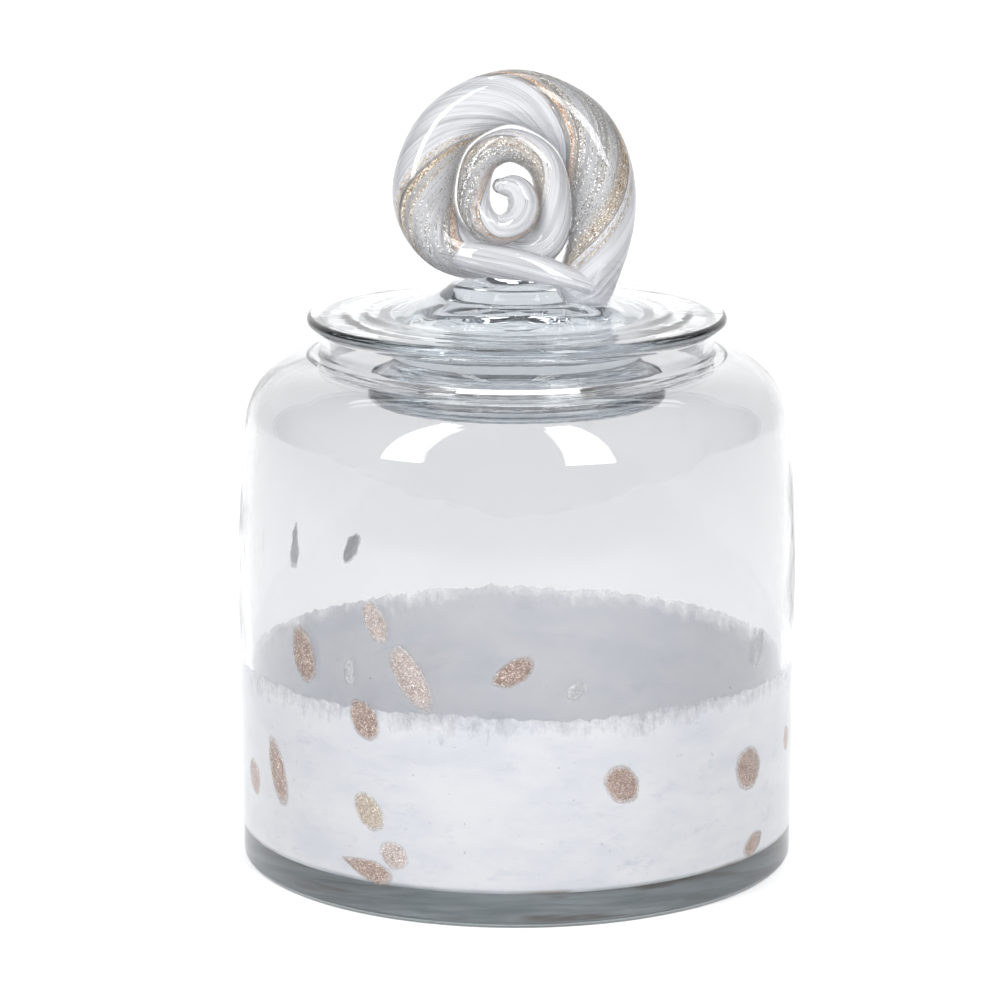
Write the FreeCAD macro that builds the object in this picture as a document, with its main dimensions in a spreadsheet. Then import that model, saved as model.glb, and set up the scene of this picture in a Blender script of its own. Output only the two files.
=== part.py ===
import FreeCAD, Part
import math
import os
import re
import Sketcher
from FreeCAD import Placement, Rotation, Vector

# Lidded jar of cased glass. +Z is up, the jar stands on z = 0 and its axis is the Z axis.
# Millimetres. The front of the jar faces -Y.

doc = FreeCAD.newDocument("glass_jar")

SIZES = {
    # jar, outside
    "foot_radius": 77.9,
    "foot_edge": 2.5,
    "belly_radius": 78.7,
    "belly_height": 81.0,
    "flank_curve": 380.0,
    "shoulder_curve": 21.0,
    "crest_height": 144.4,
    "neck_radius": 54.5,
    "lip_radius": 55.9,
    "lip_height": 152.2,
    "neck_wall": 3.0,
    "lip_edge": 1.2,
    # jar, layers from the outside in
    "casing_wall": 1.8,
    "frit_wall": 0.4,
    "gather_wall": 1.4,
    "frit_bottom": 9.3,
    "frit_top": 60.0,
    "frit_corner": 2.4,
    "gather_corner": 2.0,
    "cavity_corner": 4.0,
    "fleck_depth": 0.8,
    # lid
    "lid_gap": 0.2,
    "lid_radius": 58.7,
    "rim_wall": 2.9,
    "rim_edge": 1.3,
    "plug_radius": 41.0,
    "plug_drop": 20.9,
    "plug_height": 8.6,
    "plug_foot_edge": 4.5,
    "plug_top_edge": 2.2,
    "waist_radius": 34.5,
    "waist_edge": 3.0,
    "hump_radius": 33.5,
    "hump_rise": 3.7,
    "hump_curve": 24.0,
    "crown_radius": 19.0,
    "crown_rise": 9.8,
    "crown_height": 12.3,
    "crown_edge": 3.0,
    # finial
    "finial_height": 188.4,
    "core_share": 0.78,
    "strand_gap": 0.02,
    "twist_length": 80.0,
}

sheet = doc.addObject("Spreadsheet::Sheet", "sizes")
for row, (alias, value) in enumerate(SIZES.items(), start=1):
    sheet.set("A%d" % row, alias)
    sheet.set("B%d" % row, str(value))
    sheet.setAlias("B%d" % row, alias)
doc.recompute()


def size(alias):
    """One driving dimension as a plain number."""
    return float(sheet.get(alias))


def linked(expression):
    """Write the sheet's name in front of each alias of an expression."""
    return re.sub(
        "[a-z_]+", lambda word: "sizes." + word[0] if word[0] in SIZES else word[0], expression
    )


def origin_feature(body, role):
    return next(f for f in body.Origin.OriginFeatures if f.Role == role)


def pin_to(sketch, geometry, end, along, expression):
    """Hold one end of an edge at a distance from the sketch's origin."""
    value = float(sketch.evalExpression(linked(expression)))
    if abs(value) < 1e-9:
        axis = -2 if along == "DistanceX" else -1
        sketch.addConstraint(Sketcher.Constraint("PointOnObject", geometry, end, axis))
        return
    index = sketch.addConstraint(Sketcher.Constraint(along, -1, 1, geometry, end, value))
    sketch.setExpression("Constraints[%d]" % index, linked(expression))


def turned(label, outline, edges=()):
    """A body of revolution about Z.

    outline lists its corners (radius, height, curve): two expressions, and None or the radius of
    the arc that leads to the next corner, negative where that arc is hollow.
    edges lists (corner number, fillet radius).
    """
    body = doc.addObject("PartDesign::Body", label)
    body.Label = label
    sketch = body.newObject("Sketcher::SketchObject", label + "_profile")
    sketch.AttachmentSupport = (origin_feature(body, "XZ_Plane"), "")
    sketch.MapMode = "FlatFace"
    places = []
    for radius, height, curve in outline:
        x = float(sketch.evalExpression(linked(radius)))
        z = float(sketch.evalExpression(linked(height)))
        places.append(Vector(x, z, 0))
    ends = []
    for number, (radius, height, curve) in enumerate(outline):
        start, end = places[number], places[(number + 1) % len(places)]
        if curve is None:
            geometry = sketch.addGeometry(Part.LineSegment(start, end), False)
            ends.append((1, 2))
            continue
        bend = float(sketch.evalExpression(linked(curve)))
        half = (end - start) * 0.5
        bulge = abs(bend) - math.sqrt(bend ** 2 - half.Length ** 2)
        middle = start + half + Vector(half.y, -half.x, 0).normalize() * math.copysign(bulge, bend)
        arc = Part.Arc(start, middle, end) if bend > 0 else Part.Arc(end, middle, start)
        geometry = sketch.addGeometry(arc, False)
        index = sketch.addConstraint(Sketcher.Constraint("Radius", geometry, abs(bend)))
        sketch.setExpression("Constraints[%d]" % index, "abs(%s)" % linked(curve))
        ends.append((1, 2) if bend > 0 else (2, 1))
    for number, (radius, height, curve) in enumerate(outline):
        before = (number - 1) % len(outline)
        join = Sketcher.Constraint("Coincident", before, ends[before][1], number, ends[number][0])
        sketch.addConstraint(join)
        pin_to(sketch, number, ends[number][0], "DistanceX", radius)
        pin_to(sketch, number, ends[number][0], "DistanceY", height)
    doc.recompute()
    turn = body.newObject("PartDesign::Revolution", label + "_turn")
    turn.Profile = sketch
    turn.ReferenceAxis = (sketch, ["V_Axis"])
    turn.Angle = 360.0
    doc.recompute()
    solid = turn
    for corner, radius in edges:
        wanted = places[corner]
        names = []
        for count, edge in enumerate(solid.Shape.Edges, start=1):
            round_edge = isinstance(edge.Curve, Part.Circle) and edge.isClosed()
            if round_edge and abs(edge.Curve.Radius - wanted.x) < 0.01:
                if abs(edge.Curve.Center.z - wanted.y) < 0.01:
                    names.append("Edge%d" % count)
        fillet = body.newObject("PartDesign::Fillet", "%s_edge_%d" % (label, corner))
        fillet.Base = (solid, names)
        fillet.setExpression("Radius", linked(radius))
        doc.recompute()
        solid = fillet
    return body


# ---------------------------------------------------------------- jar

SLOPE = "(crest_height - shoulder_curve - belly_height) / (flank_curve - shoulder_curve)"
SHOULDER_AXIS = "belly_radius - flank_curve + (flank_curve - shoulder_curve) * cos(asin(%s))" % SLOPE


def flank(inset, bottom):
    """The jar's outline from the axis over the floor, wall and shoulder, moved in by inset."""
    flank_arc = "(flank_curve - (%s))" % inset
    return [
        ("0", bottom, None),
        ("foot_radius - (%s)" % inset, bottom, None),
        ("belly_radius - (%s)" % inset, "belly_height", flank_arc),
        (
            "belly_radius - flank_curve + %s * cos(asin(%s))" % (flank_arc, SLOPE),
            "belly_height + %s * %s" % (flank_arc, SLOPE),
            "shoulder_curve - (%s)" % inset,
        ),
        (SHOULDER_AXIS, "crest_height - (%s)" % inset, None),
    ]


INSIDE = "casing_wall + gather_wall"

outer_form = turned(
    "outer_form",
    flank("0", "0") + [("0", "crest_height", None)],
    [(1, "foot_edge")],
)
gather_form = turned(
    "gather_form",
    flank("casing_wall", "frit_bottom + frit_wall")
    + [
        ("neck_radius", "crest_height - casing_wall", None),
        ("lip_radius", "lip_height", None),
        ("0", "lip_height", None),
    ],
    [(1, "gather_corner"), (6, "lip_edge")],
)
frit_form = turned(
    "frit_form",
    [
        ("0", "frit_bottom", None),
        ("foot_radius - (casing_wall - frit_wall)", "frit_bottom", None),
        ("belly_radius - (casing_wall - frit_wall)", "belly_height", None),
        ("0", "belly_height", None),
    ],
    [(1, "frit_corner")],
)
cavity_form = turned(
    "cavity_form",
    flank(INSIDE, "frit_bottom + frit_wall + gather_wall")
    + [
        ("neck_radius - neck_wall", "crest_height - (%s)" % INSIDE, None),
        ("lip_radius - neck_wall", "lip_height", None),
        ("0", "lip_height", None),
    ],
    [(1, "cavity_corner")],
)


def combined(kind, label, base, tool):
    """A Part::Cut or Part::Common of two objects."""
    result = doc.addObject(kind, label)
    result.Label = label
    result.Base = base
    result.Tool = tool
    return result


def outer_radius(height):
    """Radius of the jar's outer wall at a height below the shoulder."""
    if height <= size("belly_height"):
        lean = (size("belly_radius") - size("foot_radius")) / size("belly_height")
        return size("foot_radius") + lean * height
    rise = height - size("belly_height")
    curve = size("flank_curve")
    return size("belly_radius") - curve + math.sqrt(curve ** 2 - rise ** 2)


gather = combined("Part::Cut", "gather", gather_form, cavity_form)

frit_zone = doc.addObject("Part::Cylinder", "frit_zone")
frit_zone.setExpression("Radius", "sizes.belly_radius")
frit_zone.setExpression("Height", "sizes.frit_top")
frit_cup = combined("Part::Common", "frit_cup", frit_form, frit_zone)
white_frit = combined("Part::Cut", "white_frit", frit_cup, gather_form)

# Flecks of coloured glass on the gather: (turn about the axis from the front in degrees, height,
# length, width, lean of the length from upright in degrees, top towards -X being positive).
FLECKS = {
    "copper_flecks": [
        (-48.0, 70.0, 17.0, 9.5, 12.0),
        (-32.0, 55.5, 12.5, 9.0, 30.0),
        (-58.0, 34.0, 21.0, 8.5, 16.0),
        (-70.0, 28.5, 11.0, 9.0, 20.0),
        (-31.5, 13.5, 17.0, 6.0, 76.0),
        (-0.6, 71.5, 13.0, 7.0, -56.0),
        (21.5, 39.0, 12.5, 9.5, 28.0),
        (55.0, 36.0, 13.5, 12.0, 20.0),
        (57.5, 13.5, 10.5, 6.0, -70.0),
        (75.0, 38.0, 7.5, 6.0, 10.0),
    ],
    "rose_flecks": [
        (-29.0, 83.0, 13.0, 6.5, 25.0),
        (-21.5, 68.5, 20.0, 8.5, 28.0),
        (-25.5, 18.5, 9.5, 7.5, 45.0),
    ],
    "gold_flecks": [
        (-31.0, 30.0, 12.5, 8.0, 35.0),
    ],
    "silver_flecks": [
        (58.0, 69.5, 11.0, 5.0, -14.0),
        (-35.5, 68.0, 8.5, 3.5, 0.0),
        (11.5, 66.0, 6.5, 4.5, -50.0),
        (-120.0, 80.0, 14.0, 5.0, 6.0),
        (-139.5, 74.5, 10.5, 6.0, 34.0),
    ],
}

# Round the back a scatter stepped by the golden ratio, all of it outside the white layer.
BACK_FLECKS = 12
BACK_START = 88.0
BACK_TURN = 196.0
GOLDEN = 0.618034
LOWEST_FLECK = 15.0
FLECK_BAND = 34.0
for number in range(BACK_FLECKS):
    colour = ("copper_flecks", "rose_flecks", "copper_flecks", "gold_flecks")[number % 4]
    turn = BACK_START + BACK_TURN * number / BACK_FLECKS
    share = (number * GOLDEN + 0.3) % 1.0
    height = LOWEST_FLECK + FLECK_BAND * share
    length = 9.0 + 7.0 * ((number * GOLDEN * 2.0 + 0.1) % 1.0)
    lean = 12.0 + 30.0 * ((number * GOLDEN * 3.0 + 0.5) % 1.0)
    FLECKS[colour].append((turn, height, length, 0.62 * length, lean))


def fleck(label, turn, height, length, width, lean):
    """A lens of glass that stands out of the gather or of the frit by fleck_depth."""
    lens = doc.addObject("Part::Ellipsoid", label)
    lens.setExpression("Radius1", "sizes.fleck_depth")
    lens.Radius2 = length / 2
    lens.Radius3 = width / 2
    seat = outer_radius(height) - size("casing_wall")
    if height < size("frit_top"):
        seat += size("frit_wall")
    outwards = Rotation(Vector(0, 0, 1), turn) * Rotation(Vector(1, 0, 0), 90)
    upright = Rotation(Vector(0, 0, 1), 90 + lean)
    place = Rotation(Vector(0, 0, 1), turn).multVec(Vector(0, -seat, height))
    lens.Placement = Placement(place, outwards * upright)
    return lens


casing_blank = combined("Part::Cut", "casing_blank", outer_form, gather_form)
casing_bare = combined("Part::Cut", "casing_bare", casing_blank, white_frit)
fleck_groups = []
all_lenses = []
for colour, places in FLECKS.items():
    lenses = [
        fleck("%s_lens_%d" % (colour, count), *place)
        for count, place in enumerate(places, start=1)
    ]
    group = doc.addObject("Part::Compound", colour + "_lenses")
    group.Links = lenses
    all_lenses.extend(lenses)
    fleck_groups.append(combined("Part::Common", colour, casing_bare, group))
every_lens = doc.addObject("Part::Compound", "every_lens")
every_lens.Links = all_lenses
casing = combined("Part::Cut", "casing", casing_bare, every_lens)

# ---------------------------------------------------------------- lid

UNDERSIDE = "lip_height + lid_gap"
lid_form = turned(
    "lid_form",
    [
        ("0", "%s - plug_drop" % UNDERSIDE, None),
        ("plug_radius", "%s - plug_drop" % UNDERSIDE, None),
        ("plug_radius", "%s - plug_drop + plug_height" % UNDERSIDE, None),
        ("waist_radius", "%s - plug_drop + plug_height + waist_edge" % UNDERSIDE, None),
        ("waist_radius", UNDERSIDE, None),
        ("lid_radius", UNDERSIDE, None),
        ("lid_radius", "%s + rim_wall" % UNDERSIDE, None),
        ("hump_radius", "%s + hump_rise" % UNDERSIDE, "-hump_curve"),
        ("crown_radius", "%s + crown_rise" % UNDERSIDE, None),
        ("crown_radius - crown_edge", "%s + crown_height" % UNDERSIDE, None),
        ("0", "%s + crown_height" % UNDERSIDE, None),
    ],
    [
        (1, "plug_foot_edge"),
        (2, "plug_top_edge"),
        (3, "waist_edge"),
        (4, "waist_edge"),
        (5, "rim_edge"),
        (6, "rim_edge"),
    ],
)

# ---------------------------------------------------------------- finial

# The finial's tapering cane, from its foot in the lid to its curled tip: (turn in degrees from
# +X towards +Z, distance across X, height above finial_height, forward of the lid's axis, radius
# of the cane).
CANE = [
    (-75.0, 16.5, -31.0, 0.0, 8.0),
    (-50.0, 20.0, -22.5, 0.0, 8.3),
    (-25.0, 23.2, -11.0, 0.0, 8.9),
    (0.0, 23.9, 0.5, 0.0, 9.2),
    (45.0, 17.0, 18.6, 0.0, 8.8),
    (90.0, -1.0, 27.0, 0.0, 7.8),
    (135.0, -19.0, 18.9, 0.0, 8.0),
    (180.0, -25.9, 0.5, 0.0, 8.8),
    (225.0, -19.6, -13.8, 0.2, 7.6),
    (270.0, -3.5, -18.2, 0.8, 5.9),
    (315.0, 8.2, -12.5, 2.2, 5.2),
    (360.0, 9.8, 0.0, 3.0, 4.9),
    (405.0, 6.6, 10.0, 3.6, 4.8),
    (450.0, -2.0, 14.2, 4.0, 4.7),
    (495.0, -9.8, 10.0, 4.2, 4.6),
    (540.0, -12.0, 0.0, 4.6, 4.6),
    (585.0, -9.8, -6.4, 5.6, 4.4),
    (630.0, -4.6, -9.0, 6.6, 4.2),
    (675.0, 0.4, -6.4, 7.4, 3.8),
    (720.0, 1.6, -1.2, 8.0, 3.4),
    (765.0, -1.2, 2.9, 8.4, 2.7),
    (800.0, -4.8, 3.4, 8.8, 1.9),
]
TURNS = [row[0] for row in CANE]
FIRST_TURN = TURNS[0]
LAST_TURN = TURNS[-1]
CORE_END = 785.0

# The clear skin is made in lengths that meet end to end: name, first turn, last turn.
SKIN_LENGTHS = [
    ("cane_rise", FIRST_TURN, 60.0),
    ("cane_crown", 60.0, 195.0),
    ("cane_return", 195.0, 375.0),
    ("cane_curl", 375.0, LAST_TURN),
]
CANE_STEP = 20.0
STRAND_STEP = 12.0
FORWARD = Vector(0, -1, 0)

# Strands side by side round the core: name, start and sweep as angles round the cane, from its
# outer side towards the front.
STRANDS = [
    ("opal_strand", 20.0, 150.0),
    ("gold_strand", 170.0, 55.0),
    ("silver_strand", 225.0, 75.0),
    ("pale_strand", 300.0, 80.0),
]


def spline_through(points):
    curve = Part.BSplineCurve()
    curve.interpolate(Points=points, Parameters=TURNS)
    return curve


cane_line = spline_through(
    [
        Vector(across, -forward, size("finial_height") + up)
        for turn, across, up, forward, radius in CANE
    ]
)
cane_taper = spline_through([Vector(radius, turn, 0) for turn, *place, radius in CANE])


def section(turn):
    """Centre, radius and the outward and forward directions of the cane at a turn."""
    along = cane_line.tangent(turn)[0]
    forward = (FORWARD - along * FORWARD.dot(along)).normalize()
    return cane_line.value(turn), cane_taper.value(turn).x, along.cross(forward), forward


def ring_at(turn, share):
    """A circle across the cane, at a share of its radius."""
    centre, radius, outward, forward = section(turn)
    circle = Part.Circle(centre, forward.cross(outward), radius * share)
    circle.XAxis = outward
    return Part.Wire(circle.toShape())


def wedge_at(turn, start, sweep):
    """A slice of the core across the cane, wound back by the cane's twist up to there."""
    centre, radius, outward, forward = section(turn)
    wound = cane_line.length(FIRST_TURN, turn) if turn > FIRST_TURN else 0.0
    twist = 360.0 * wound / size("twist_length")
    reach = radius * size("core_share") - size("strand_gap")

    def rim(angle):
        angle = math.radians(angle - twist)
        return centre + (outward * math.cos(angle) + forward * math.sin(angle)) * reach

    first, middle, last = rim(start), rim(start + sweep / 2), rim(start + sweep)
    return Part.Wire(
        [
            Part.LineSegment(centre, first).toShape(),
            Part.Arc(first, middle, last).toShape(),
            Part.LineSegment(last, centre).toShape(),
        ]
    )


def stations(start, end, step):
    """Evenly spaced turns from one turn to another, no further apart than step."""
    count = math.ceil((end - start) / step)
    return [start + (end - start) * number / count for number in range(count + 1)]


def feature(label, shape):
    result = doc.addObject("Part::Feature", label)
    result.Label = label
    result.Shape = shape
    result.Placement = Placement()
    return result


def lofted(sections):
    return Part.makeLoft(sections, True, False)


def round_cane(start, end, share):
    return lofted([ring_at(turn, share) for turn in stations(start, end, CANE_STEP)])


def wedge(start, sweep):
    turns = stations(FIRST_TURN, CORE_END, STRAND_STEP)
    return lofted([wedge_at(turn, start, sweep) for turn in turns])


cane_form = feature("cane_form", round_cane(FIRST_TURN, LAST_TURN, 1.0))
core_form = feature("core_form", round_cane(FIRST_TURN, CORE_END, size("core_share")))
skins = {}
for name, start, end in SKIN_LENGTHS:
    form = feature(name + "_form", round_cane(start, end, 1.0))
    skins[name] = combined("Part::Cut", name, form, core_form)
strands = {name: feature(name, wedge(start, sweep)) for name, start, sweep in STRANDS}
lid_glass = combined("Part::Cut", "lid_glass", lid_form, cane_form)

# ---------------------------------------------------------------- check and export

NODES = {
    "gather": gather,
    "white_frit": white_frit,
    "casing": casing,
    "lid_glass": lid_glass,
}
NODES.update({group.Label: group for group in fleck_groups})
NODES.update(skins)
NODES.update(strands)

doc.recompute()
for item in doc.Objects:
    if "Invalid" in item.State or "Error" in item.State:
        raise RuntimeError("%s is in state %s" % (item.Label, item.State))
os.makedirs("parts", exist_ok=True)
for node, item in NODES.items():
    if item.Shape.isNull() or not item.Shape.isValid():
        raise RuntimeError("%s has no valid shape" % node)
    item.Shape.exportStep("parts/%s.step" % node)
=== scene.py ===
import math

import bmesh
import bpy
import numpy as np
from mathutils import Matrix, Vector, noise


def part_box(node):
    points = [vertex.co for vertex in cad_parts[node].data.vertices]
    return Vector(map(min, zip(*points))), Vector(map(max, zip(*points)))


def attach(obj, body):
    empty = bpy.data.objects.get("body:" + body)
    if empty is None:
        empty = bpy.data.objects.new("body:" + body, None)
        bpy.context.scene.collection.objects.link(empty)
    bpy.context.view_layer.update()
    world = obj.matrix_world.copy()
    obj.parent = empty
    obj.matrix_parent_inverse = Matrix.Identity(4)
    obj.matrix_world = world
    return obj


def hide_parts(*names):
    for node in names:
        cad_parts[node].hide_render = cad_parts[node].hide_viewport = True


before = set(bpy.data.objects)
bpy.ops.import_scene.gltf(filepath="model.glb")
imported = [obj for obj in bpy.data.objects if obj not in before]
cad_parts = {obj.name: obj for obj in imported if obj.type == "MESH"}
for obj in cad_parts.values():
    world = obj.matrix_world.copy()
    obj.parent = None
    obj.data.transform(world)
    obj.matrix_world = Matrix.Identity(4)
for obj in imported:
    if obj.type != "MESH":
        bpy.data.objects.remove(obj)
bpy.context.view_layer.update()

MM = 0.001

# ---------------------------------------------------------------- sizes, from the CAD nodes

CASING_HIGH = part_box("casing")[1]
GATHER_LOW, GATHER_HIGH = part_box("gather")
FRIT_LOW, FRIT_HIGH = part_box("white_frit")
LID_LOW, LID_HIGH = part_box("lid_glass")

BELLY_RADIUS = CASING_HIGH.x
BELLY_HEIGHT = 81.0 * MM
FOOT_RADIUS = BELLY_RADIUS - 0.8 * MM
CREST_HEIGHT = CASING_HIGH.z
LIP_HEIGHT = GATHER_HIGH.z
LIP_RADIUS = 55.9 * MM
NECK_RADIUS = 54.5 * MM
NECK_WALL = 3.0 * MM
WALL = 3.2 * MM
CASING_WALL = 1.8 * MM
FLANK_CURVE = 380.0 * MM
SHOULDER_CURVE = 21.0 * MM
FLOOR_TOP = GATHER_LOW.z + 1.4 * MM

PLUG_BOTTOM = LID_LOW.z
LID_RADIUS = LID_HIGH.x
LID_BASE = LIP_HEIGHT + 0.2 * MM
LID_TOP = LID_HIGH.z

# ---------------------------------------------------------------- meshes


def add_object(name, verts, faces, body, material):
    mesh = bpy.data.meshes.new(name)
    mesh.from_pydata(verts, [], faces)
    for polygon in mesh.polygons:
        polygon.use_smooth = True
    mesh.materials.append(material)
    made = bpy.data.objects.new(name, mesh)
    bpy.context.scene.collection.objects.link(made)
    if body:
        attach(made, body)
    return made


def rounded(corners, step=7.0):
    """A smooth profile from (radius, height, fillet) corners."""
    points = []
    for index, (radius, height, fillet) in enumerate(corners):
        here = Vector((radius, height))
        if fillet <= 0 or index in (0, len(corners) - 1):
            points.append(here)
            continue
        back = Vector(corners[index - 1][:2]) - here
        ahead = Vector(corners[index + 1][:2]) - here
        half = back.angle(ahead) / 2
        reach = min(fillet / math.tan(half), 0.49 * back.length, 0.49 * ahead.length)
        size = reach * math.tan(half)
        centre = here + (back.normalized() + ahead.normalized()).normalized() * size / math.sin(half)
        first = here + back.normalized() * reach - centre
        last = here + ahead.normalized() * reach - centre
        sweep = first.angle_signed(last)
        count = max(3, math.ceil(abs(math.degrees(sweep)) / step))
        for number in range(count + 1):
            cosine = math.cos(-sweep * number / count)
            sine = math.sin(-sweep * number / count)
            spoke = (first.x * cosine - first.y * sine, first.x * sine + first.y * cosine)
            points.append(centre + Vector(spoke))
    return points


def rippled(profile, height, length, seed):
    """A profile cut finer and moved in and out a little, as spun glass is."""
    fine = []
    for start, end in zip(profile, profile[1:]):
        count = max(1, math.ceil((end - start).length / (length / 5)))
        fine += [start.lerp(end, number / count) for number in range(count)]
    fine.append(profile[-1])
    moved = [fine[0]]
    travelled = 0.0
    for before, here, after in zip(fine, fine[1:], fine[2:]):
        travelled += (here - before).length
        along = (after - before).normalized()
        push = height * noise.noise(Vector((travelled / length, seed, 0.0)))
        push *= min(1.0, here.x / (8 * MM))
        moved.append(here + Vector((along.y, -along.x)) * push)
    moved.append(fine[-1])
    return moved


def arc(centre, radius, start, end, step=4.0):
    """Points on a circle from one angle to another, in degrees from the outward direction."""
    count = max(2, math.ceil(abs(end - start) / step))
    points = []
    for number in range(count + 1):
        turn = math.radians(start + (end - start) * number / count)
        points.append(Vector((centre[0] + radius * math.cos(turn), centre[1] + radius * math.sin(turn))))
    return points


def lathe(name, profile, body, material, segments=256):
    """A closed solid turned about Z, its profile running from the axis to the axis."""
    verts = []
    rings = []
    for point in profile:
        if point.x < 1e-7:
            rings.append([len(verts)])
            verts.append((0.0, 0.0, point.y))
            continue
        rings.append(list(range(len(verts), len(verts) + segments)))
        for number in range(segments):
            turn = 2 * math.pi * number / segments
            verts.append((point.x * math.cos(turn), point.x * math.sin(turn), point.y))
    faces = []
    for low, high in zip(rings, rings[1:]):
        for number in range(segments):
            after = (number + 1) % segments
            if len(low) == 1:
                faces.append((low[0], high[after], high[number]))
            elif len(high) == 1:
                faces.append((low[number], low[after], high[0]))
            else:
                faces.append((low[number], low[after], high[after], high[number]))
    made = add_object(name, verts, faces, body, material)
    normals = []
    for index, (point, ring) in enumerate(zip(profile, rings)):
        before = profile[max(index - 1, 0)]
        after = profile[min(index + 1, len(profile) - 1)]
        along = (after - before).normalized()
        for number in range(len(ring)):
            turn = 2 * math.pi * number / segments
            if len(ring) == 1:
                normals.append((0.0, 0.0, math.copysign(1.0, -along.x if index else -1.0)))
            else:
                normals.append((along.y * math.cos(turn), along.y * math.sin(turn), -along.x))
    made.data.normals_split_custom_set_from_vertices(normals)
    return made


# ---------------------------------------------------------------- materials


def new_material(name):
    made = bpy.data.materials.new(name)
    made.use_nodes = True
    return made.node_tree, made.node_tree.nodes["Principled BSDF"], made


def add_node(tree, kind, inputs=(), **settings):
    made = tree.nodes.new(kind)
    for key, value in settings.items():
        setattr(made, key, value)
    for key, value in dict(inputs).items():
        if isinstance(value, bpy.types.NodeSocket):
            tree.links.new(value, made.inputs[key])
        else:
            made.inputs[key].default_value = value
    return made


def math_node(tree, operation, first, second=0.0):
    return add_node(tree, "ShaderNodeMath", {0: first, 1: second}, operation=operation).outputs[0]


def ramp(tree, value, stops):
    """A colour ramp from (position, colour or grey) stops."""
    made = add_node(tree, "ShaderNodeValToRGB", {0: value})
    elements = made.color_ramp.elements
    while len(elements) < len(stops):
        elements.new(1.0)
    for element, (position, colour) in zip(elements, stops):
        element.position = position
        if isinstance(colour, float):
            colour = (colour, colour, colour)
        element.color = (*colour, 1.0)
    return made.outputs[0]


def mixed(tree, share, first, second):
    made = add_node(tree, "ShaderNodeMix", data_type="RGBA")
    for index, value in ((0, share), (6, first), (7, second)):
        if isinstance(value, bpy.types.NodeSocket):
            tree.links.new(value, made.inputs[index])
        else:
            made.inputs[index].default_value = (*value, 1.0) if isinstance(value, tuple) else value
    return made.outputs[2]


def place_of(tree, stretch=(1.0, 1.0, 1.0)):
    where = add_node(tree, "ShaderNodeTexCoord").outputs["Object"]
    return add_node(tree, "ShaderNodeMapping", {"Vector": where, "Scale": stretch}).outputs[0]


def noise_of(tree, vector, scale, detail=3.0, roughness=0.5):
    inputs = {"Vector": vector, "Scale": scale, "Detail": detail, "Roughness": roughness}
    return add_node(tree, "ShaderNodeTexNoise", inputs).outputs["Fac"]


def let_light_in(tree, shader, tint):
    """Light from the lamps passes straight through the glass to what is inside it."""
    path = add_node(tree, "ShaderNodeLightPath")
    through = math_node(
        tree, "MAXIMUM", path.outputs["Is Shadow Ray"], path.outputs["Is Diffuse Ray"]
    )
    clear = add_node(tree, "ShaderNodeBsdfTransparent", {"Color": (*tint, 1.0)})
    mix = add_node(tree, "ShaderNodeMixShader", {0: through, 1: shader.outputs[0], 2: clear.outputs[0]})
    tree.links.new(mix.outputs[0], tree.nodes["Material Output"].inputs["Surface"])


def clear_glass(name, tint, inner_light, wave, depth_colour, density):
    tree, shader, made = new_material(name)
    shader.inputs["Base Color"].default_value = (*tint, 1.0)
    shader.inputs["Roughness"].default_value = 0.0
    shader.inputs["IOR"].default_value = 1.5
    shader.inputs["Transmission Weight"].default_value = 1.0
    place = place_of(tree)
    slow = noise_of(tree, place, 22.0, 1.0)
    fine = noise_of(tree, place, 120.0, 2.0)
    height = math_node(tree, "ADD", slow, math_node(tree, "MULTIPLY", fine, 0.12))
    bump = add_node(tree, "ShaderNodeBump", {"Height": height, "Distance": wave, "Strength": 1.0})
    tree.links.new(bump.outputs[0], shader.inputs["Normal"])
    volume = add_node(
        tree, "ShaderNodeVolumeAbsorption", {"Color": (*depth_colour, 1.0), "Density": density}
    )
    tree.links.new(volume.outputs[0], tree.nodes["Material Output"].inputs["Volume"])
    let_light_in(tree, shader, inner_light)
    return made


JAR_GLASS = clear_glass(
    "jar_glass", (0.812, 0.812, 0.822), (0.92, 0.92, 0.93), 0.00025, (0.64, 0.68, 0.69), 17.0
)
LID_GLASS = clear_glass(
    "lid_glass_clear", (0.98, 0.985, 0.99), (0.97, 0.975, 0.98), 0.0007, (0.58, 0.645, 0.69), 12.0
)


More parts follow.
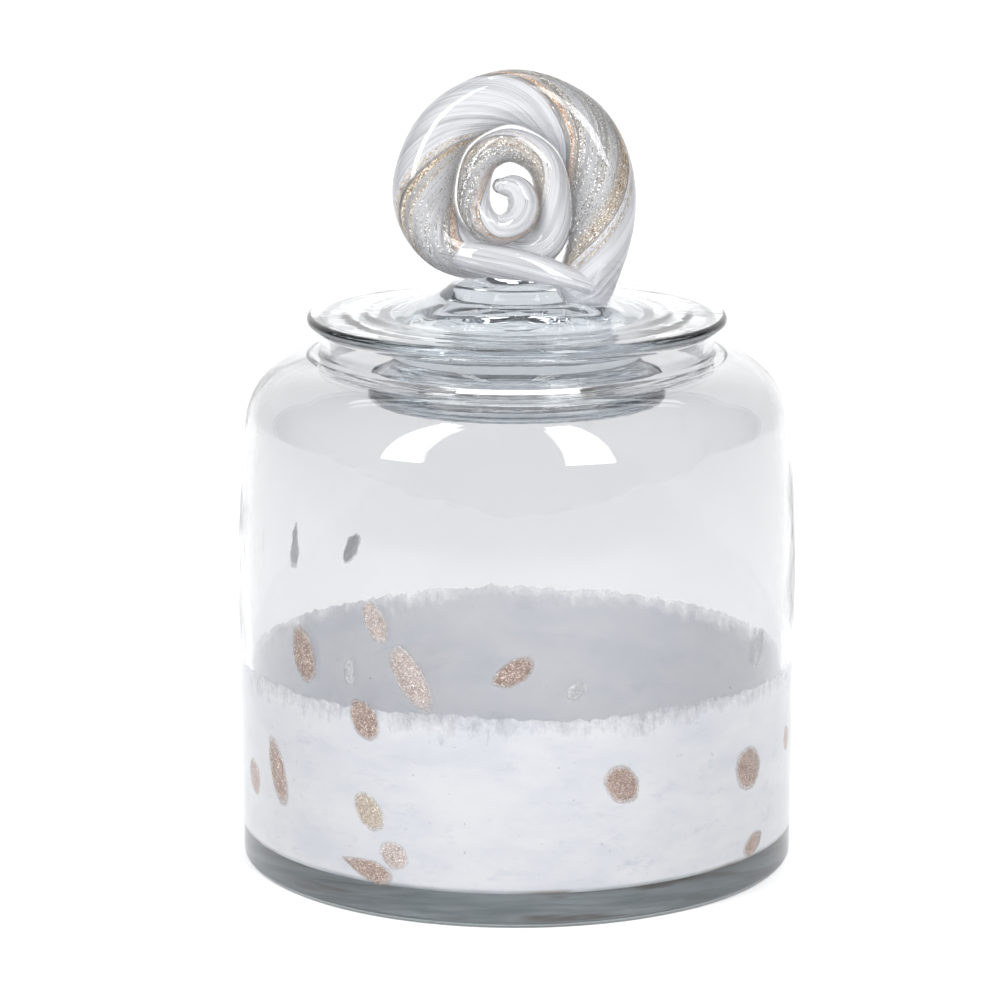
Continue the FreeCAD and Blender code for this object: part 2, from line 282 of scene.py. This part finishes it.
def frit_material():
    """White glass, marbled faint blue-grey, with specks, that thins out in strokes at its top; its floor
    is painted grey as shade, with painted brown reflection streaks.
    """
    tree, shader, made = new_material("white_frit_glass")
    place = place_of(tree)
    flattened = place_of(tree, (1.0, 1.0, 2.2))
    cloud = noise_of(tree, flattened, 38.0, 6.0, 0.62)
    veins = noise_of(tree, flattened, 95.0, 5.0, 0.7)
    specks = noise_of(tree, place, 900.0, 2.0, 0.6)
    colour = mixed(
        tree, ramp(tree, cloud, ((0.38, 0.0), (0.62, 1.0))), (0.90, 0.905, 0.92), (0.80, 0.825, 0.86)
    )
    colour = mixed(tree, ramp(tree, veins, ((0.56, 0.0), (0.72, 0.75))), colour, (0.70, 0.73, 0.775))
    colour = mixed(tree, ramp(tree, specks, ((0.72, 0.0), (0.76, 0.8))), colour, (0.36, 0.35, 0.36))
    # The sheet's floor, up to about 2 mm above its bottom, is painted grey in blotches as shade, with
    # brown streaks painted in as reflections.
    height = add_node(tree, "ShaderNodeSeparateXYZ", {0: place}).outputs["Z"]
    shade_blotches = noise_of(tree, place_of(tree, (0.5, 1.0, 1.0)), 70.0, 5.0, 0.65)
    painted_reflection_streaks = noise_of(tree, place, 26.0, 3.0, 0.6)
    painted_shade_floor = mixed(
        tree, ramp(tree, shade_blotches, ((0.40, 0.0), (0.60, 1.0))), (0.36, 0.40, 0.41), (0.66, 0.69, 0.70)
    )
    painted_shade_floor = mixed(tree, ramp(tree, painted_reflection_streaks, ((0.55, 0.0), (0.62, 0.8))), painted_shade_floor, (0.22, 0.15, 0.11))
    rise = math_node(tree, "SUBTRACT", height, FRIT_LOW.z)
    rise = math_node(tree, "MULTIPLY", rise, 1.0 / (2.0 * MM))
    colour = mixed(tree, ramp(tree, rise, ((0.3, 1.0), (0.9, 0.0))), colour, painted_shade_floor)
    tree.links.new(colour, shader.inputs["Base Color"])
    shader.inputs["Roughness"].default_value = 0.45
    bump = add_node(tree, "ShaderNodeBump", {"Height": veins, "Distance": 0.0004, "Strength": 0.5})
    tree.links.new(bump.outputs[0], shader.inputs["Normal"])
    strokes = noise_of(tree, place_of(tree, (1.0, 1.0, 0.40)), 460.0, 4.0, 0.7)
    patches = noise_of(tree, place, 120.0, 5.0, 0.7)
    drifts = noise_of(tree, place, 24.0, 2.0, 0.5)
    depth = math_node(tree, "SUBTRACT", FRIT_HIGH.z + 0.8 * MM, height)
    depth = math_node(tree, "MULTIPLY", depth, 1.0 / (12.0 * MM))
    ragged = math_node(tree, "ADD", depth, math_node(tree, "MULTIPLY", strokes, 0.9))
    ragged = math_node(tree, "ADD", ragged, math_node(tree, "MULTIPLY", patches, 1.3))
    ragged = math_node(tree, "ADD", ragged, math_node(tree, "MULTIPLY", drifts, 1.2))
    alpha = ramp(
        tree, math_node(tree, "MULTIPLY", ragged, 0.4), ((0.66, 0.0), (0.78, 0.55), (0.92, 1.0))
    )
    glow = add_node(tree, "ShaderNodeBsdfTranslucent", {"Color": colour})
    clear = add_node(tree, "ShaderNodeBsdfTransparent")
    milky = add_node(tree, "ShaderNodeMixShader", {0: 0.4, 1: shader.outputs[0], 2: glow.outputs[0]})
    edged = add_node(
        tree, "ShaderNodeMixShader", {0: alpha, 1: clear.outputs[0], 2: milky.outputs[0]}
    )
    tree.links.new(edged.outputs[0], tree.nodes["Material Output"].inputs["Surface"])
    return made


def aventurine(name, dark, light, painted_glint_colour, density):
    """Glass full of tiny metal flakes, partly metallic and tilted at random, their glints partly painted
    as a near-white colour on the flake cells.
    """
    tree, shader, made = new_material(name)
    place = place_of(tree)
    cells = add_node(tree, "ShaderNodeTexVoronoi", {"Vector": place, "Scale": 4600.0})
    random = add_node(tree, "ShaderNodeSeparateColor", {0: cells.outputs["Color"]})
    cloud = noise_of(tree, place, 420.0, 4.0, 0.6)
    base = mixed(tree, ramp(tree, cloud, ((0.35, 0.0), (0.68, 1.0))), dark, light)
    # The flake cells are painted in the near-white glint colour, a painted highlight, and made up to
    # half metallic.
    flakes_and_painted_glints = ramp(tree, random.outputs[0], ((1.0 - density, 0.0), (1.0 - density * 0.6, 1.0)))
    tree.links.new(mixed(tree, flakes_and_painted_glints, base, painted_glint_colour), shader.inputs["Base Color"])
    tree.links.new(math_node(tree, "MULTIPLY", flakes_and_painted_glints, 0.5), shader.inputs["Metallic"])
    shader.inputs["Roughness"].default_value = 0.32
    surface = add_node(tree, "ShaderNodeNewGeometry").outputs["Normal"]
    jitter = add_node(
        tree,
        "ShaderNodeVectorMath",
        {0: cells.outputs["Color"], 1: (0.5, 0.5, 0.5)},
        operation="SUBTRACT",
    ).outputs[0]
    jitter = add_node(
        tree, "ShaderNodeVectorMath", {0: jitter, "Scale": 0.9}, operation="SCALE"
    ).outputs[0]
    tilted = add_node(tree, "ShaderNodeVectorMath", {0: surface, 1: jitter}, operation="ADD")
    facing = add_node(tree, "ShaderNodeVectorMath", {0: tilted.outputs[0]}, operation="NORMALIZE")
    tree.links.new(facing.outputs[0], shader.inputs["Normal"])
    return made


def fleck_material(name, dark, light, painted_glint_colour, density):
    """A glittering chip that melts into the clear glass at its rim."""
    made = aventurine(name, dark, light, painted_glint_colour, density)
    tree = made.node_tree
    share = add_node(tree, "ShaderNodeUVMap", uv_map="chip").outputs[0]
    share = add_node(tree, "ShaderNodeSeparateXYZ", {0: share}).outputs["X"]
    grains = noise_of(tree, place_of(tree), 1500.0, 3.0, 0.7)
    rim = math_node(tree, "ADD", share, math_node(tree, "MULTIPLY", grains, 0.36))
    alpha = ramp(tree, rim, ((0.93, 1.0), (1.0, 0.55)))
    fade = ramp(tree, share, ((0.90, 1.0), (1.0, 0.0)))
    alpha = math_node(tree, "MULTIPLY", alpha, fade)
    shader = tree.nodes["Principled BSDF"]
    glow = add_node(tree, "ShaderNodeBsdfTranslucent", {"Color": (*light, 1.0)})
    lit = add_node(tree, "ShaderNodeMixShader", {0: 0.3, 1: shader.outputs[0], 2: glow.outputs[0]})
    clear = add_node(tree, "ShaderNodeBsdfTransparent")
    faded = add_node(tree, "ShaderNodeMixShader", {0: alpha, 1: clear.outputs[0], 2: lit.outputs[0]})
    let_light_in(tree, faded, (0.9, 0.9, 0.9))
    return made


# Each look: dark and light colours, a near-white painted glint colour, and the share of flakes that
# glint.
FLECK_LOOKS = {
    "copper_flecks": fleck_material(
        "copper_flake", (0.25, 0.155, 0.115), (0.40, 0.275, 0.22), (1.0, 0.88, 0.80), 0.28
    ),
    "rose_flecks": fleck_material(
        "rose_flake", (0.36, 0.26, 0.225), (0.58, 0.475, 0.43), (1.0, 0.95, 0.92), 0.36
    ),
    "gold_flecks": fleck_material(
        "gold_flake", (0.33, 0.25, 0.18), (0.54, 0.44, 0.34), (1.0, 0.94, 0.82), 0.36
    ),
    "silver_flecks": fleck_material(
        "silver_flake", (0.40, 0.405, 0.415), (0.60, 0.605, 0.62), (0.95, 0.95, 0.97), 0.25
    ),
}

# ---------------------------------------------------------------- jar

LEAN = math.degrees(
    math.asin((CREST_HEIGHT - SHOULDER_CURVE - BELLY_HEIGHT) / (FLANK_CURVE - SHOULDER_CURVE))
)
FLANK_AXIS = (BELLY_RADIUS - FLANK_CURVE, BELLY_HEIGHT)
SHOULDER_AXIS = (
    FLANK_AXIS[0] + (FLANK_CURVE - SHOULDER_CURVE) * math.cos(math.radians(LEAN)),
    CREST_HEIGHT - SHOULDER_CURVE,
)


def wall_outline(inset):
    """The wall from the belly over the shoulder, moved in by inset."""
    flank = arc(FLANK_AXIS, FLANK_CURVE - inset, 0.0, LEAN, 1.2)
    shoulder = arc(SHOULDER_AXIS, SHOULDER_CURVE - inset, LEAN, 87.0)
    return flank + shoulder[1:]


def jar_profile():
    foot = rounded(
        [(0, 0, 0), (FOOT_RADIUS, 0, 2.5 * MM), (BELLY_RADIUS, BELLY_HEIGHT, 0)]
    )
    collar = rounded(
        [
            (NECK_RADIUS + 2.6 * MM, CREST_HEIGHT, 0),
            (NECK_RADIUS, CREST_HEIGHT - 0.4 * MM, 2.0 * MM),
            (LIP_RADIUS, LIP_HEIGHT, 1.4 * MM),
            (LIP_RADIUS - NECK_WALL, LIP_HEIGHT, 1.4 * MM),
            (NECK_RADIUS - NECK_WALL, CREST_HEIGHT - WALL, 4.5 * MM),
            (SHOULDER_AXIS[0] + 3.0 * MM, CREST_HEIGHT - WALL, 0),
        ]
    )
    floor = rounded(
        [
            (BELLY_RADIUS - WALL, BELLY_HEIGHT, 0),
            (FOOT_RADIUS - WALL, FLOOR_TOP, 5.0 * MM),
            (0, FLOOR_TOP, 0),
        ]
    )
    outside = foot + wall_outline(0.0)[1:-1] + collar
    inside = wall_outline(WALL)[::-1][1:-1] + floor
    return outside + inside


jar = lathe("jar_shell", jar_profile(), "jar", JAR_GLASS)
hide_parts("gather", "casing")


def wall_radius(height):
    """Outer radius of the jar's wall."""
    if height <= BELLY_HEIGHT:
        return FOOT_RADIUS + (BELLY_RADIUS - FOOT_RADIUS) * height / BELLY_HEIGHT
    rise = height - BELLY_HEIGHT
    return FLANK_AXIS[0] + math.sqrt(FLANK_CURVE ** 2 - rise ** 2)


def frit_edge(turn):
    """Height of the white layer's uneven top at a turn about the axis, in radians."""
    low = Vector((math.cos(turn), math.sin(turn), 0.0))
    uneven = 1.2 * noise.noise(low * 2.0) + noise.noise(low * 24.0) + 0.5 * noise.noise(low * 90.0)
    return FRIT_HIGH.z - (1.5 - uneven) * MM


def frit_layer():
    """A thin white sheet inside the wall and under the jar's floor."""
    segments = 1200
    inset = CASING_WALL - 0.2 * MM
    shape = rounded(
        [
            (0, FRIT_LOW.z + 0.2 * MM, 0),
            (FOOT_RADIUS - inset, FRIT_LOW.z + 0.2 * MM, 2.4 * MM),
            (FOOT_RADIUS - inset + 0.3 * MM, 30.0 * MM, 0),
        ],
        step=15.0,
    )[1:]
    rings = [(point.x, point.y) for point in shape]
    verts = [(0.0, 0.0, shape[0].y)]
    for radius, height in rings:
        for number in range(segments):
            turn = 2 * math.pi * number / segments
            verts.append((radius * math.cos(turn), radius * math.sin(turn), height))
    for share in (0.5, 1.0):
        for number in range(segments):
            turn = 2 * math.pi * number / segments
            top = frit_edge(turn)
            height = rings[-1][1] + (top - rings[-1][1]) * share
            radius = wall_radius(height) - inset
            verts.append((radius * math.cos(turn), radius * math.sin(turn), height))
    faces = []
    for number in range(segments):
        after = (number + 1) % segments
        faces.append((0, 1 + number, 1 + after))
        for ring in range(len(rings) + 1):
            low, high = 1 + ring * segments, 1 + (ring + 1) * segments
            faces.append((low + number, low + after, high + after, high + number))
    made = add_object("frit_sheet", verts, faces, "jar", frit_material())
    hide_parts("white_frit")


frit_layer()


def islands(name):
    """Each separate lens of a fleck node, as an array of its points."""
    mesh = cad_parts[name].data
    graph = bmesh.new()
    graph.from_mesh(mesh)
    bmesh.ops.remove_doubles(graph, verts=graph.verts, dist=1e-6)
    left = set(graph.verts)
    groups = []
    while left:
        reached = [left.pop()]
        group = []
        while reached:
            here = reached.pop()
            group.append(here.co[:])
            for edge in here.link_edges:
                there = edge.other_vert(here)
                if there in left:
                    left.remove(there)
                    reached.append(there)
        groups.append(np.array(group))
    graph.free()
    return sorted(groups, key=lambda points: tuple(points.mean(0).round(5)))


def fleck_chips(name):
    """Irregular chips where the CAD node has its lenses, lying in the wall."""
    verts = []
    faces = []
    shares = []
    around, across = 64, 9
    for count, points in enumerate(islands(name)):
        low, high = points.min(0), points.max(0)
        turns = np.arctan2(points[:, 1], points[:, 0])
        middle = math.atan2(points[:, 1].mean(), points[:, 0].mean())
        turns = (turns - middle + math.pi) % (2 * math.pi) - math.pi
        height = (low[2] + high[2]) / 2
        radius = wall_radius(height) - CASING_WALL
        flat = np.stack([turns * radius, points[:, 2] - height])
        flat = flat - (flat.max(1, keepdims=True) + flat.min(1, keepdims=True)) / 2
        spread = np.cov(flat)
        lengths, axes = np.linalg.eigh(spread)
        major = axes[:, 1]
        minor = axes[:, 0]
        long_half = np.abs(major @ flat).max()
        short_half = np.abs(minor @ flat).max()
        seed = Vector((count * 7.3, len(name) * 3.1, 0.0))
        if major[1] < 0:
            major, minor = -major, -minor
        stretch = long_half / short_half
        pointed = 0.45 if stretch > 2.6 else 0.12 * noise.noise(seed + Vector((0.0, 5.5, 0.0)))
        base = len(verts)
        for ring in range(across + 1):
            share = ring / across
            for number in range(around):
                turn = 2 * math.pi * number / around
                spot = Vector((math.cos(turn), math.sin(turn), 0.0))
                ragged = 1.0 + 0.10 * noise.noise(spot * 1.3 + seed)
                ragged += 0.05 * noise.noise(spot * 6.0 + seed)
                taper = 1.0 - pointed * math.cos(turn)
                u = long_half * share * ragged * math.cos(turn)
                v = short_half * share * ragged * taper * math.sin(turn)
                side = (major[0] * u + minor[0] * v) / radius
                up = height + major[1] * u + minor[1] * v
                swell = 0.35 + 0.5 * math.sqrt(max(0.0, 1 - share ** 2))
                stand = wall_radius(up) - CASING_WALL + swell * MM
                angle = middle + side
                verts.append((stand * math.cos(angle), stand * math.sin(angle), up))
                shares.append(share)
        for ring in range(across):
            for number in range(around):
                after = (number + 1) % around
                near, far = base + ring * around, base + (ring + 1) * around
                faces.append((near + number, near + after, far + after, far + number))
    made = add_object(name + "_chips", verts, faces, "jar", FLECK_LOOKS[name])
    layer = made.data.uv_layers.new(name="chip")
    for loop in made.data.loops:
        layer.data[loop.index].uv = (shares[loop.vertex_index], 0.0)
    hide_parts(name)


fleck_chips("copper_flecks")
fleck_chips("rose_flecks")
fleck_chips("gold_flecks")
fleck_chips("silver_flecks")

# ---------------------------------------------------------------- lid


def lid_profile():
    plug_radius = 41.0 * MM
    waist_radius = 34.5 * MM
    plug_top = PLUG_BOTTOM + 8.6 * MM
    rim_top = LID_BASE + 2.9 * MM
    return rounded(
        [
            (0, PLUG_BOTTOM, 0),
            (plug_radius, PLUG_BOTTOM, 4.5 * MM),
            (plug_radius, plug_top, 2.0 * MM),
            (waist_radius, plug_top + 2.6 * MM, 3.5 * MM),
            (waist_radius, LID_BASE, 4.0 * MM),
            (LID_RADIUS, LID_BASE, 1.3 * MM),
            (LID_RADIUS, rim_top, 1.5 * MM),
            (33.0 * MM, LID_BASE + 3.3 * MM, 25.0 * MM),
            (22.0 * MM, LID_BASE + 8.2 * MM, 6.0 * MM),
            (18.0 * MM, LID_TOP - 0.8 * MM, 5.0 * MM),
            (6.0 * MM, LID_TOP + 2.2 * MM, 12.0 * MM),
            (0, LID_TOP + 2.2 * MM, 0),
        ]
    )


lid = lathe("lid_disc", rippled(lid_profile(), 0.26 * MM, 4.4 * MM, 3.7), "lid", LID_GLASS)
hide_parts("lid_glass")

# ---------------------------------------------------------------- finial

# The coiled cane's course: (turn in degrees from +X towards +Z, distance across X, height above
# the coil's centre, forward of the axis, radius of the cane), in millimetres.
CANE = [
    (-75.0, 16.5, -31.0, 0.0, 8.0),
    (-50.0, 20.0, -22.5, 0.0, 8.3),
    (-25.0, 23.2, -11.0, 0.0, 8.9),
    (0.0, 23.9, 0.5, 0.0, 9.2),
    (45.0, 17.0, 18.6, 0.0, 8.8),
    (90.0, -1.0, 27.0, 0.0, 7.8),
    (135.0, -19.0, 18.9, 0.0, 8.0),
    (180.0, -25.9, 0.5, 0.0, 8.8),
    (225.0, -19.6, -13.8, 0.2, 7.6),
    (270.0, -3.5, -18.2, 0.8, 5.9),
    (315.0, 8.2, -12.5, 2.2, 5.2),
    (360.0, 9.8, 0.0, 3.0, 4.9),
    (405.0, 6.6, 10.0, 3.6, 4.8),
    (450.0, -2.0, 14.2, 4.0, 4.7),
    (495.0, -9.8, 10.0, 4.2, 4.6),
    (540.0, -12.0, 0.0, 4.6, 4.6),
    (585.0, -9.8, -6.4, 5.6, 4.4),
    (630.0, -4.6, -9.0, 6.6, 4.2),
    (675.0, 0.6, -6.2, 7.4, 4.5),
    (720.0, 1.8, -0.8, 8.0, 4.4),
    (765.0, -1.0, 3.1, 8.4, 3.6),
    (800.0, -4.6, 3.6, 8.8, 2.2),
]
COIL_CENTRE = 188.4 * MM
TWIST_LENGTH = 80.0 * MM
TURN_STEP = 4.0


def course(table):
    """Centre, radius, outward and forward directions and length at even steps of a cane."""
    turns = np.array([row[0] for row in table])
    values = np.array([(row[1], -row[3], row[2], row[4]) for row in table]) * MM
    values[:, 2] += COIL_CENTRE
    slopes = np.gradient(values, turns, axis=0)
    count = math.ceil((turns[-1] - turns[0]) / TURN_STEP)
    stations = []
    for number in range(count + 1):
        turn = turns[0] + (turns[-1] - turns[0]) * number / count
        index = min(np.searchsorted(turns, turn, side="right"), len(turns) - 1) - 1
        gap = turns[index + 1] - turns[index]
        t = (turn - turns[index]) / gap
        value = (
            (2 * t ** 3 - 3 * t ** 2 + 1) * values[index]
            + (t ** 3 - 2 * t ** 2 + t) * gap * slopes[index]
            + (3 * t ** 2 - 2 * t ** 3) * values[index + 1]
            + (t ** 3 - t ** 2) * gap * slopes[index + 1]
        )
        stations.append((Vector(value[:3]), float(value[3])))
    rows = []
    length = 0.0
    for number, (centre, radius) in enumerate(stations):
        before = stations[max(number - 1, 0)][0]
        after = stations[min(number + 1, count)][0]
        along = (after - before).normalized()
        forward = Vector((0, -1, 0))
        forward = (forward - along * along.dot(forward)).normalized()
        if number:
            length += (centre - before).length
        rows.append((centre, radius, along.cross(forward), forward, length))
    return rows


# The tail of the same glass, folded across the foot of the coil, in the same terms.
TAIL = [
    (0.0, -17.0, -15.9, 3.0, 4.0),
    (20.0, -9.0, -17.2, 5.5, 4.7),
    (40.0, -1.0, -18.6, 6.5, 4.9),
    (60.0, 7.0, -20.6, 7.0, 4.5),
    (80.0, 14.0, -22.8, 6.5, 3.7),
    (100.0, 21.0, -25.2, 5.0, 2.8),
]
COIL_COURSE = course(CANE)
TAIL_COURSE = course(TAIL)
CAP_LEVELS = (0.5, 0.8, 0.94, 0.99)


def cap_ring(ring, level):
    """A smaller ring beyond the end of the cane, for its rounded cap."""
    centre, reach, outward, forward, length = ring
    beyond = outward.cross(forward) * level * reach
    return centre + beyond, reach * math.sqrt(1 - level ** 2), outward, forward, length


def tube(name, rows, share, material, start=0.0, sweep=360.0, around=40):
    """A closed tube along a course at a share of its radius, or a twisted open strip of one."""
    closed = sweep >= 360.0
    rings = [
        (centre, radius * share, outward, forward, length)
        for centre, radius, outward, forward, length in rows
    ]
    if closed:
        rings = [cap_ring(rings[0], level) for level in CAP_LEVELS[::-1]] + rings
        rings += [cap_ring(rings[-1], -level) for level in CAP_LEVELS]
    columns = around if closed else around + 1
    verts = []
    marks = []
    for centre, reach, outward, forward, length in rings:
        twist = 0.0 if closed else 360.0 * length / TWIST_LENGTH
        for number in range(columns):
            angle = start + sweep * number / around
            turn = math.radians(angle - twist)
            verts.append(centre + (outward * math.cos(turn) + forward * math.sin(turn)) * reach)
            marks.append((angle / 360.0, length))
    faces = []
    for row in range(len(rings) - 1):
        low, high = row * columns, (row + 1) * columns
        for number in range(around):
            after = (number + 1) % columns
            faces.append((low + number, high + number, high + after, low + after))
    if closed:
        faces.append(tuple(range(columns)))
        faces.append(tuple(range(len(verts) - 1, len(verts) - 1 - columns, -1)))
    made = add_object(name, verts, faces, "lid", material)
    layer = made.data.uv_layers.new(name="strand")
    for loop in made.data.loops:
        layer.data[loop.index].uv = marks[loop.vertex_index]
    return made


def strand_coordinates(tree, across, along):
    """Coordinates round the cane and along it, so that streaks follow the twist."""
    uv = add_node(tree, "ShaderNodeUVMap", uv_map="strand").outputs[0]
    inputs = {"Vector": uv, "Scale": (across, along, 1.0)}
    return add_node(tree, "ShaderNodeMapping", inputs).outputs[0]


def opal_material(name, cover, tint):
    """White glass drawn into fine streaks, thinning out towards its edges."""
    tree, shader, made = new_material(name)
    streaks = noise_of(tree, strand_coordinates(tree, 22.0, 10.0), 1.0, 3.0, 0.55)
    fine = noise_of(tree, strand_coordinates(tree, 90.0, 30.0), 1.0, 3.0, 0.6)
    streaks = math_node(tree, "MULTIPLY", streaks, 0.55)
    fine = math_node(tree, "MULTIPLY", fine, 0.45)
    both = math_node(tree, "ADD", streaks, fine)
    alpha = ramp(tree, both, ((cover, 0.38), (cover + 0.20, 0.96)))
    shader.inputs["Base Color"].default_value = (*tint, 1.0)
    shader.inputs["Roughness"].default_value = 0.5
    tree.links.new(alpha, shader.inputs["Alpha"])
    return made


def glitter_material(name, dark, light, painted_glint_colour, cover):
    """Metal flakes drawn into fine lines."""
    made = aventurine(name, dark, light, painted_glint_colour, 0.40)
    tree = made.node_tree
    shader = tree.nodes["Principled BSDF"]
    lines = noise_of(tree, strand_coordinates(tree, 64.0, 6.0), 1.0, 2.0, 0.6)
    grains = noise_of(tree, place_of(tree), 2600.0, 1.0, 0.5)
    lines = math_node(tree, "MULTIPLY", lines, 0.75)
    grains = math_node(tree, "MULTIPLY", grains, 0.25)
    both = math_node(tree, "ADD", lines, grains)
    alpha = ramp(tree, both, ((cover, 0.0), (cover + 0.04, 1.0)))
    tree.links.new(alpha, shader.inputs["Alpha"])
    return made


CANE_GLASS = clear_glass(
    "cane_glass", (0.98, 0.985, 0.99), (0.98, 0.985, 0.99), 0.00015, (0.62, 0.66, 0.70), 10.0
)
OPAL = opal_material("opal_streaks", 0.36, (0.60, 0.60, 0.62))
PALE = opal_material("pale_core", 0.22, (0.56, 0.56, 0.575))
# Each line's third colour is a near-white painted glint colour.
GOLD = glitter_material(
    "gold_lines", (0.20, 0.125, 0.06), (0.40, 0.27, 0.15), (1.0, 0.93, 0.80), 0.50
)
COPPER = glitter_material(
    "copper_lines", (0.26, 0.14, 0.08), (0.46, 0.29, 0.19), (1.0, 0.88, 0.76), 0.48
)
SILVER = glitter_material(
    "silver_lines", (0.13, 0.115, 0.095), (0.30, 0.275, 0.24), (1.0, 0.98, 0.95), 0.51
)

cane = tube("cane_skin", COIL_COURSE, 1.0, CANE_GLASS)
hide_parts("cane_rise", "cane_crown", "cane_return", "cane_curl")

core = tube("pale_core", COIL_COURSE[:-2], 0.62, PALE)
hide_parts("pale_strand")

STRANDS = [
    ("opal_strand", "opal_ribbon", 5.0, 185.0, OPAL, "opal_glass"),
    ("gold_strand", "gold_ribbon", 170.0, 65.0, GOLD, "gold_aventurine"),
    ("silver_strand", "silver_ribbon", 225.0, 110.0, SILVER, "silver_aventurine"),
    ("gold_strand", "copper_ribbon", 325.0, 35.0, COPPER, "gold_aventurine"),
]
for node_name, piece_name, start, sweep, look, slot in STRANDS:
    ribbon = tube(piece_name, COIL_COURSE[:-2], 0.84, look, start, sweep, around=24)
    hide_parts(node_name)

tail = tube("tail_skin", TAIL_COURSE, 1.0, CANE_GLASS)
tail_core = tube("tail_core", TAIL_COURSE[1:-1], 0.8, OPAL)

# ---------------------------------------------------------------- stage, lights and camera


def stage_sweep():
    """A pale floor that curves up into a backdrop."""
    profile = [Vector((-3.0, 0.0)), Vector((1.6, 0.0))]
    profile += arc((1.6, 1.0), 1.0, -90.0, 0.0, 9.0)[1:]
    profile.append(Vector((2.6, 3.0)))
    verts = []
    for point in profile:
        verts.append((-3.5, point.x, point.y - 0.0002))
        verts.append((3.5, point.x, point.y - 0.0002))
    faces = [(2 * n, 2 * n + 1, 2 * n + 3, 2 * n + 2) for n in range(len(profile) - 1)]
    tree, shader, look = new_material("stage_paper")
    shader.inputs["Base Color"].default_value = (0.93, 0.93, 0.93, 1.0)
    shader.inputs["Roughness"].default_value = 0.9
    shader.inputs["Emission Color"].default_value = (1.0, 1.0, 1.0, 1.0)
    shader.inputs["Emission Strength"].default_value = 0.35
    add_object("stage_sweep", verts, faces, None, look)


def softbox(name, place, aim, width, height, power):
    light = bpy.data.lights.new(name, "AREA")
    light.shape = "RECTANGLE"
    light.size = width
    light.size_y = height
    light.energy = power
    made = bpy.data.objects.new(name, light)
    made.location = place
    made.rotation_euler = (Vector(aim) - Vector(place)).to_track_quat("-Z", "Y").to_euler()
    bpy.context.scene.collection.objects.link(made)


stage_sweep()
softbox("left_strip", (-0.737, -0.676, 1.25), (0, 0, 1.25), 0.30, 2.0, 17.0)
softbox("right_strip", (0.492, -0.870, 1.25), (0, 0, 1.25), 0.36, 2.0, 20.0)
softbox("top_lamp", (0.0, 0.7, 2.2), (0, 0.3, 0.0), 1.2, 0.8, 9.0)
softbox("backdrop_lamp", (0.0, 0.9, 1.9), (0, 2.4, 0.6), 2.6, 0.6, 13.0)

world = bpy.data.worlds.new("studio")
world.use_nodes = True
world.node_tree.nodes["Background"].inputs["Color"].default_value = (0.93, 0.95, 1.0, 1.0)
world.node_tree.nodes["Background"].inputs["Strength"].default_value = 0.08
bpy.context.scene.world = world

camera_data = bpy.data.cameras.new("camera")
camera_data.sensor_width = 36.0
camera_data.lens = 157.0
camera_data.shift_x = -0.0169
camera = bpy.data.objects.new("camera", camera_data)
camera.location = (0.0, -1.2, 0.3626)
camera.rotation_euler = (math.radians(90.0 - 12.27), 0.0, 0.0)
bpy.context.scene.collection.objects.link(camera)
bpy.context.scene.camera = camera

scene = bpy.context.scene
scene.view_settings.view_transform = "Standard"
scene.cycles.max_bounces = 24
scene.cycles.transmission_bounces = 24
scene.cycles.transparent_max_bounces = 24
scene.cycles.glossy_bounces = 8
scene.cycles.diffuse_bounces = 4
